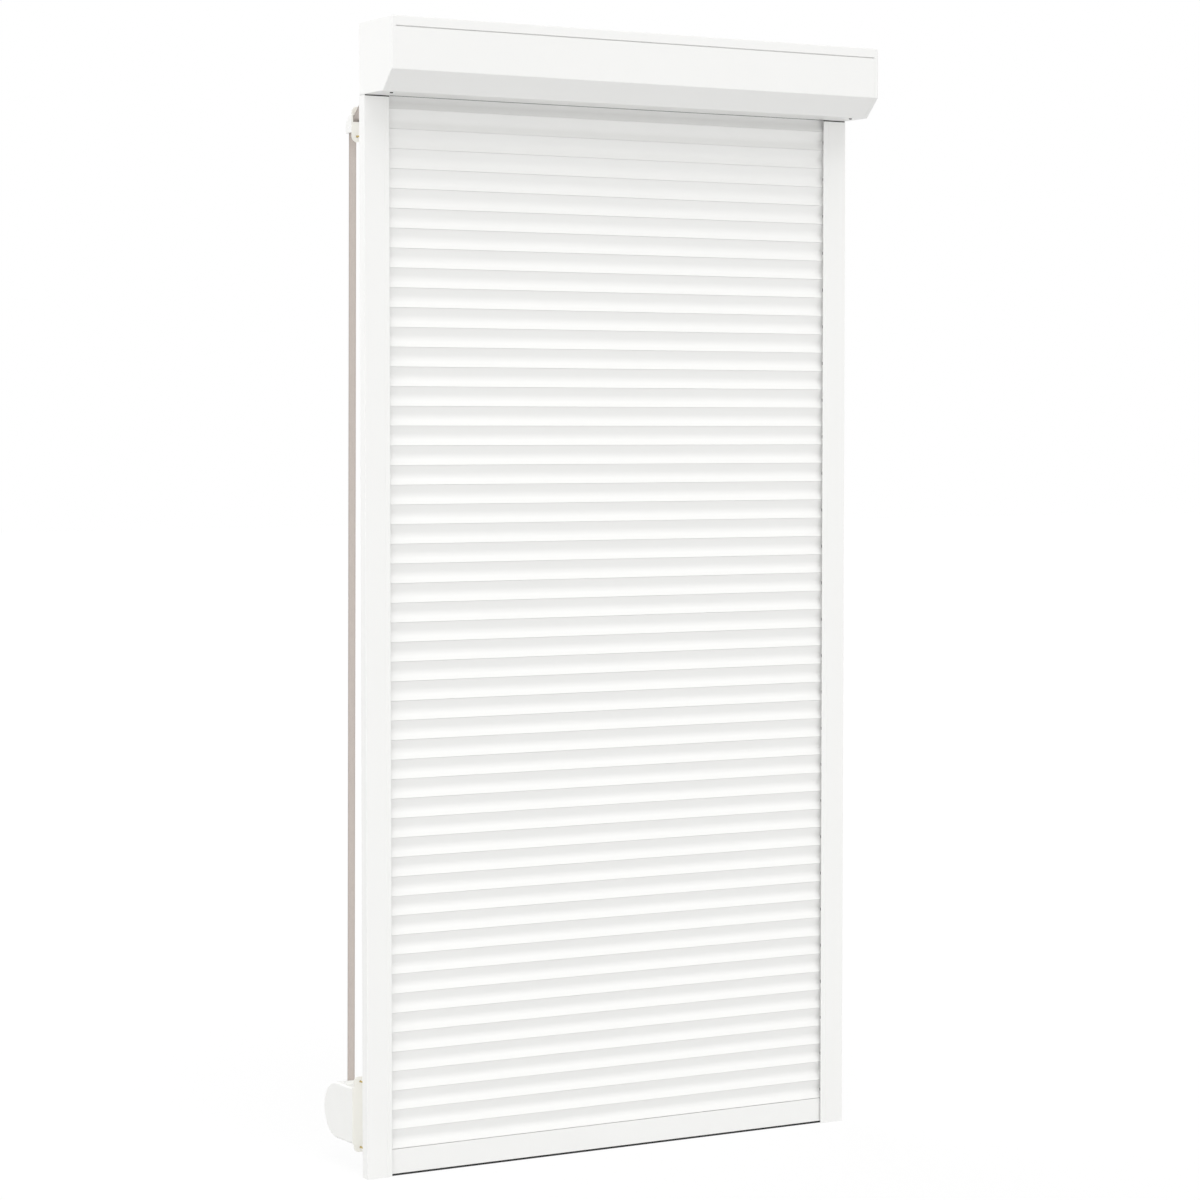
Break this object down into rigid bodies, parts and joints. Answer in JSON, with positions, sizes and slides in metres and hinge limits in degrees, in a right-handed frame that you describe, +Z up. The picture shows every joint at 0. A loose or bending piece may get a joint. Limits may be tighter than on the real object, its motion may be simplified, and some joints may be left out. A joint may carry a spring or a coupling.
{
  "type": "exterior roller shutter",
  "caption": "White exterior roller shutter: bevelled cassette, guide rails and a curtain of hooked hollow-front slats, raised by a strap over a guide roller to a spring winder.",
  "frame": {"origin": "centre of the cassette's back face, which lies against the wall or window frame", "axes": "+Y indoors, out of the back face; +Z up; +X to the right as seen from out of doors"},
  "size_m": [1.1, 0.319, 2.2],
  "materials": {
    "white_coat": "satin powder coat on aluminium",
    "white_plastic": "moulded, fine satin",
    "cream_plastic": "moulded, satin",
    "black_plastic": "moulded, matt",
    "black_rubber": "matt extruded rubber",
    "pile": "dense short pile",
    "strap_webbing": "flat woven webbing",
    "galvanised_steel": "galvanised, spangled",
    "bright_steel": "turned, bright"
  },
  "bodies": {
    "fixed_frame": {"end_cap_left": "white_coat", "end_cap_right": "white_coat", "top_cover": "white_coat", "front_cover": "white_coat", "cover_screws": "bright_steel", "guide_rail_left": "white_coat", "guide_rail_right": "white_coat", "rail_piles": "pile", "inlet_funnels": "black_plastic", "bearing_outer_rings": "bright_steel", "bearing_balls": "bright_steel", "curtain_hangers": "galvanised_steel", "slats": "white_coat", "slat_end_clips": "black_plastic", "strap_run": "strap_webbing", "strap_exit_bush": "black_plastic", "strap_exit_pin": "bright_steel", "guide_plate": "cream_plastic", "guide_hood": "white_plastic", "guide_roller_pin": "bright_steel", "winder_plate": "cream_plastic", "winder_housing_left": "white_plastic", "winder_housing_right": "white_plastic", "winder_inlet": "cream_plastic", "housing_screws": "bright_steel", "winder_axle": "bright_steel"},
    "lifting_bar": {"bottom_bar": "white_coat", "bottom_seal": "black_rubber", "bar_end_plugs": "black_plastic"},
    "winding_shaft": {"shaft_tube": "galvanised_steel", "shaft_end_plug": "black_plastic", "strap_pulley": "black_plastic", "pulley_strap_coil": "strap_webbing", "bearing_inner_rings": "bright_steel"},
    "exit_roller": {"strap_exit_roller": "white_plastic"},
    "strap_roller": {"guide_roller": "white_plastic"},
    "strap_reel": {"winder_reel": "white_plastic", "winder_spring": "galvanised_steel", "reel_strap_coil": "strap_webbing"}
  },
  "joints": [
    {"name": "curtain_lift", "type": "slide", "parent": "fixed_frame", "child": "lifting_bar", "axis": [0, 0, 1], "range_m": [0, 2.01], "deforming": ["slats", "slat_end_clips", "curtain_hangers"]},
    {"name": "shaft_turn", "type": "hinge", "parent": "fixed_frame", "child": "winding_shaft", "pos_m": [0, -0.07, -0.0005], "axis": [1, 0, 0], "range_deg": [0, 2520]},
    {"name": "exit_roller_turn", "type": "hinge", "parent": "fixed_frame", "child": "exit_roller", "pos_m": [-0.527, -0.006, -0.0597], "axis": [1, 0, 0], "continuous": true},
    {"name": "guide_roller_turn", "type": "hinge", "parent": "fixed_frame", "child": "strap_roller", "pos_m": [-0.527, 0.065, -0.1235], "axis": [1, 0, 0], "continuous": true},
    {"name": "reel_turn", "type": "hinge", "parent": "fixed_frame", "child": "strap_reel", "pos_m": [-0.527, 0.127, -2.023], "axis": [1, 0, 0], "range_deg": [0, 3100]}
  ],
  "couplings": [
    {"joint": "shaft_turn", "follows": "curtain_lift", "rad_per_m": 21.88},
    {"joint": "exit_roller_turn", "follows": "curtain_lift", "rad_per_m": -209.2},
    {"joint": "guide_roller_turn", "follows": "curtain_lift", "rad_per_m": -129.8},
    {"joint": "reel_turn", "follows": "curtain_lift", "rad_per_m": 26.9}
  ]
}
